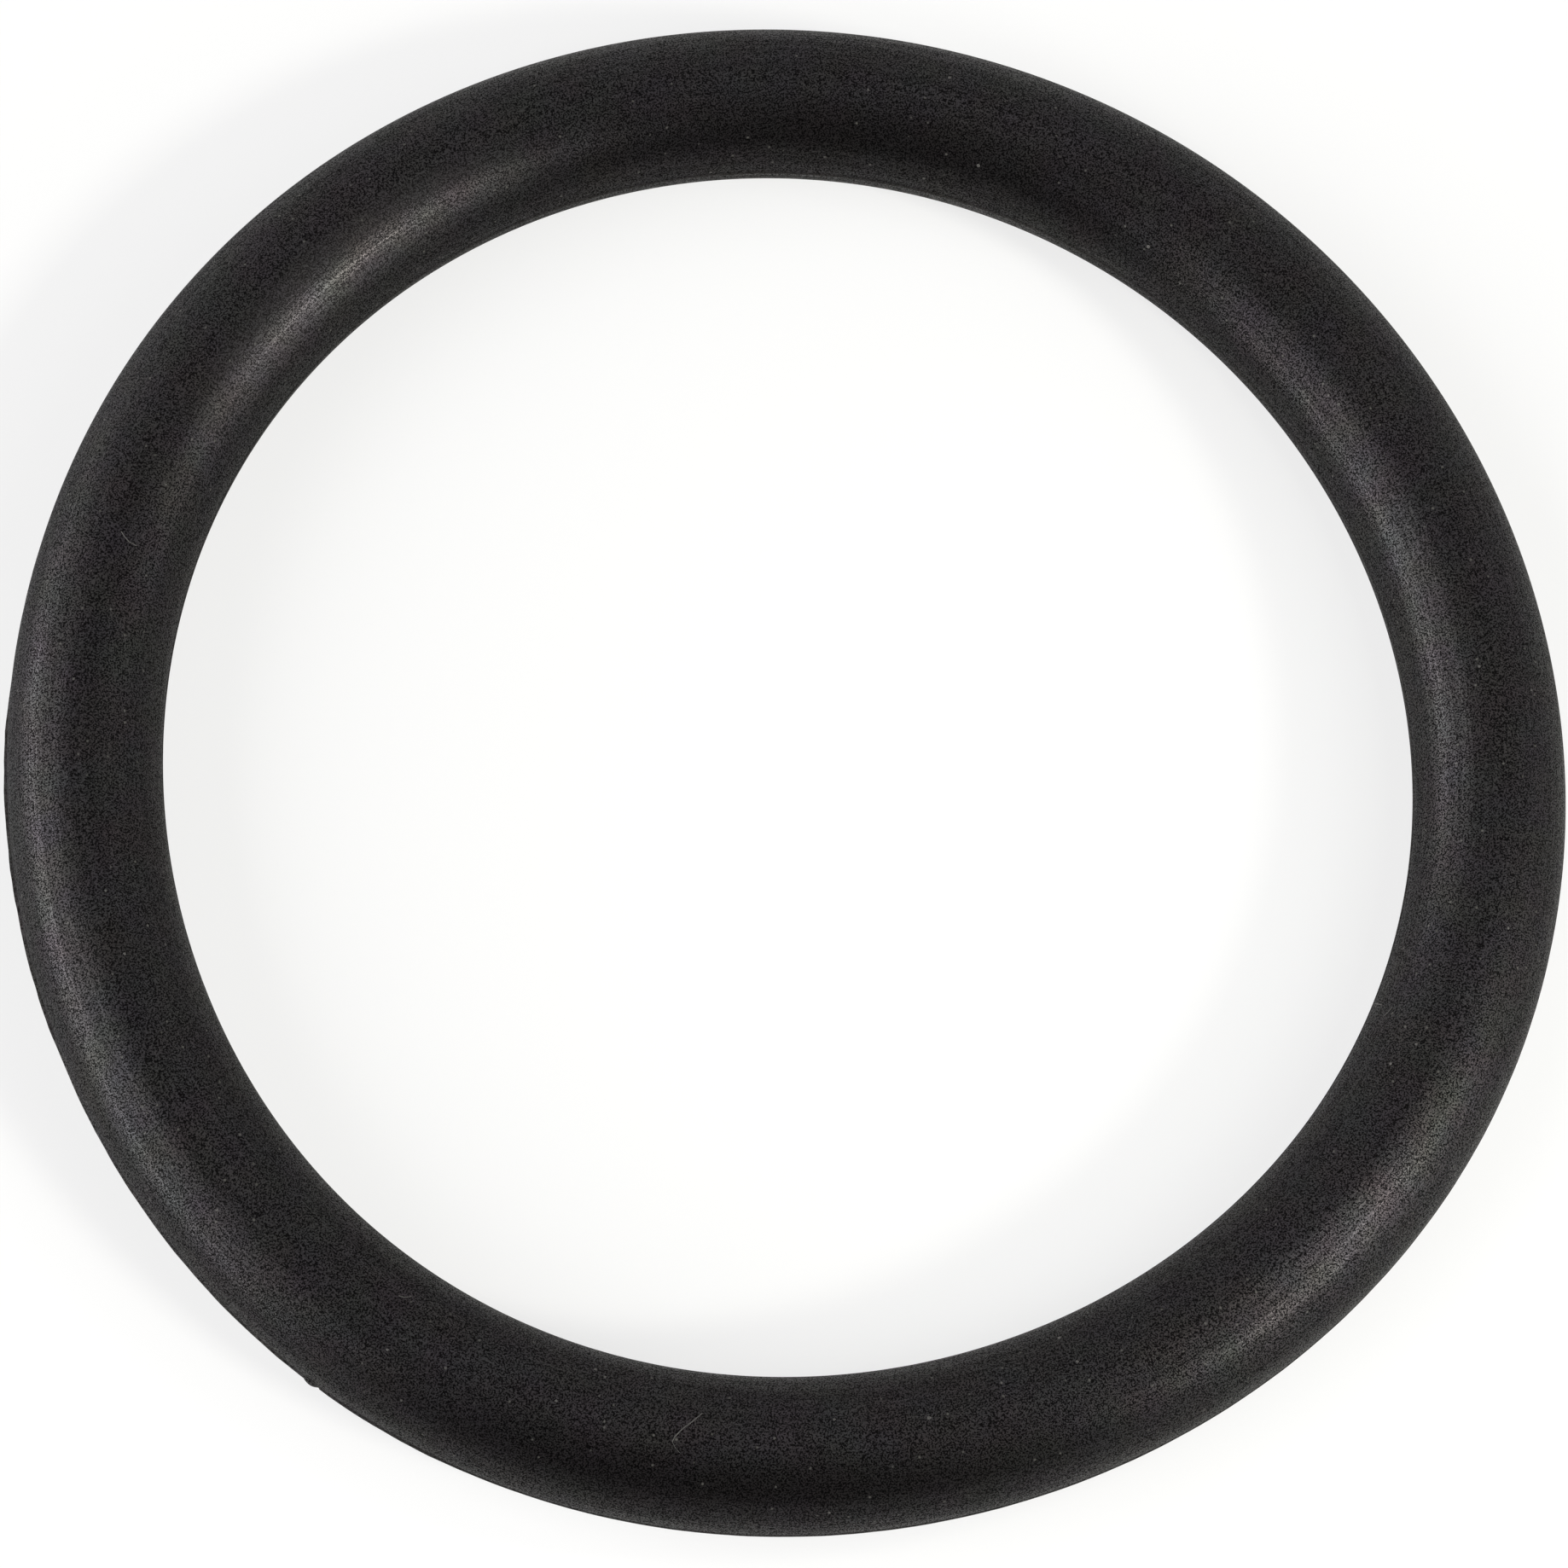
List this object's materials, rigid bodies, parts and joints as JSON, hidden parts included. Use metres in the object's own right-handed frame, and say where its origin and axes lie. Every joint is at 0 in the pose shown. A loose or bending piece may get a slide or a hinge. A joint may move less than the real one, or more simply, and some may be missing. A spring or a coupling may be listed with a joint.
{
  "type": "rubber o-ring",
  "caption": "Black rubber o-ring: a plain round sealing ring with a circular cord section, a faint parting line inside and outside, and a small gate mark on its outer edge.",
  "frame": {"origin": "centre of the ring, on the plane where the mould's halves met, halfway up the cord", "axes": "+Z along the ring's axis, through the hole; the ring lies flat across X and Y, and the gate mark is 234 degrees round from +X towards +Y"},
  "size_m": [0.0358, 0.0358, 0.0034],
  "materials": {
    "rubber": "matte"
  },
  "bodies": {
    "root": {"o_ring": "rubber"}
  },
  "joints": []
}
